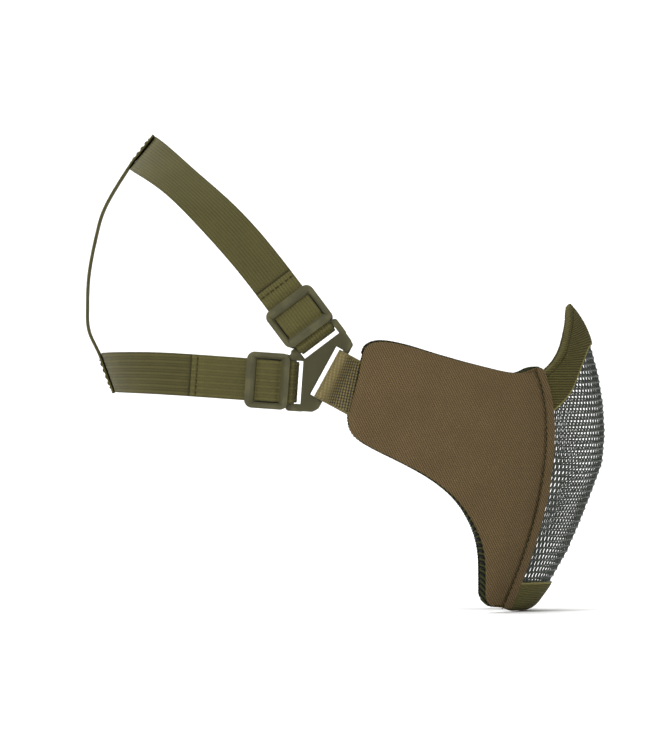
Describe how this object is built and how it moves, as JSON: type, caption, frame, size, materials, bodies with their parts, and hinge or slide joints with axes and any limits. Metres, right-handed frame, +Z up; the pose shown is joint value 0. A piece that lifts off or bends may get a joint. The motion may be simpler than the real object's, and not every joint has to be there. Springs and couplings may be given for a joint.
{
  "type": "half-face mesh mask",
  "caption": "Half-face field mask: formed wire-mesh mouthpiece, padded cloth cheeks, moulded splitter buckles and an elastic two-strap head harness with sliders.",
  "frame": {"origin": "on the mid-plane, under the chin, at the height of the mask's lowest edge", "axes": "+X the way the wearer faces, +Y to the wearer's left, +Z up"},
  "size_m": [0.2492, 0.1678, 0.2281],
  "materials": {
    "coated_steel": "satin green-grey coating on expanded steel mesh",
    "knit_tape": "ribbed olive knit tape",
    "brown_twill": "coyote-brown twill",
    "foam": "open-cell foam, hidden",
    "lining": "dark green brushed lining",
    "trim_thread": "overlocked black and green thread",
    "green_thread": "dark green sewing thread",
    "nylon_webbing": "olive nylon webbing",
    "moulded_nylon": "matt moulded olive nylon",
    "elastic": "ribbed olive elastic"
  },
  "bodies": {
    "mask": {"wire_mesh": "coated_steel", "nose_binding": "knit_tape", "chin_binding": "knit_tape", "right_cheek_cover": "brown_twill", "right_cheek_foam": "foam", "right_cheek_lining": "lining", "right_edge_trim": "trim_thread", "left_cheek_cover": "brown_twill", "left_cheek_foam": "foam", "left_cheek_lining": "lining", "left_edge_trim": "trim_thread", "right_front_stitching": "green_thread", "left_front_stitching": "green_thread", "right_anchor_webbing": "nylon_webbing", "left_anchor_webbing": "nylon_webbing"},
    "harness": {"right_splitter_buckle": "moulded_nylon", "left_splitter_buckle": "moulded_nylon", "upper_strap": "elastic", "lower_strap": "elastic", "hem_stitching": "green_thread"},
    "strap_rear": {"back_strap": "elastic", "junction_stitching": "green_thread"},
    "right_upper_slider": {"right_upper_slider": "moulded_nylon"},
    "right_lower_slider": {"right_lower_slider": "moulded_nylon"},
    "left_upper_slider": {"left_upper_slider": "moulded_nylon"},
    "left_lower_slider": {"left_lower_slider": "moulded_nylon"}
  },
  "joints": [
    {"name": "harness_tilt", "type": "hinge", "parent": "mask", "child": "harness", "pos_m": [-0.0899, 0, 0.1124], "axis": [0, 1, 0], "range_deg": [-12, 18], "deforming": ["right_anchor_webbing", "left_anchor_webbing"]},
    {"name": "strap_stretch", "type": "slide", "parent": "harness", "child": "strap_rear", "axis": [-1, 0, 0], "range_m": [0, 0.025], "deforming": ["upper_strap", "lower_strap"]},
    {"name": "right_upper_slide", "type": "slide", "parent": "harness", "child": "right_upper_slider", "axis": [-0.5985, 0.1045, 0.7943], "range_m": [0, 0.006]},
    {"name": "right_lower_slide", "type": "slide", "parent": "harness", "child": "right_lower_slider", "axis": [-0.9792, 0.1908, 0.0685], "range_m": [0, 0.02]},
    {"name": "left_upper_slide", "type": "slide", "parent": "harness", "child": "left_upper_slider", "axis": [-0.5985, -0.1045, 0.7943], "range_m": [0, 0.006]},
    {"name": "left_lower_slide", "type": "slide", "parent": "harness", "child": "left_lower_slider", "axis": [-0.9792, -0.1908, 0.0685], "range_m": [0, 0.02]}
  ]
}
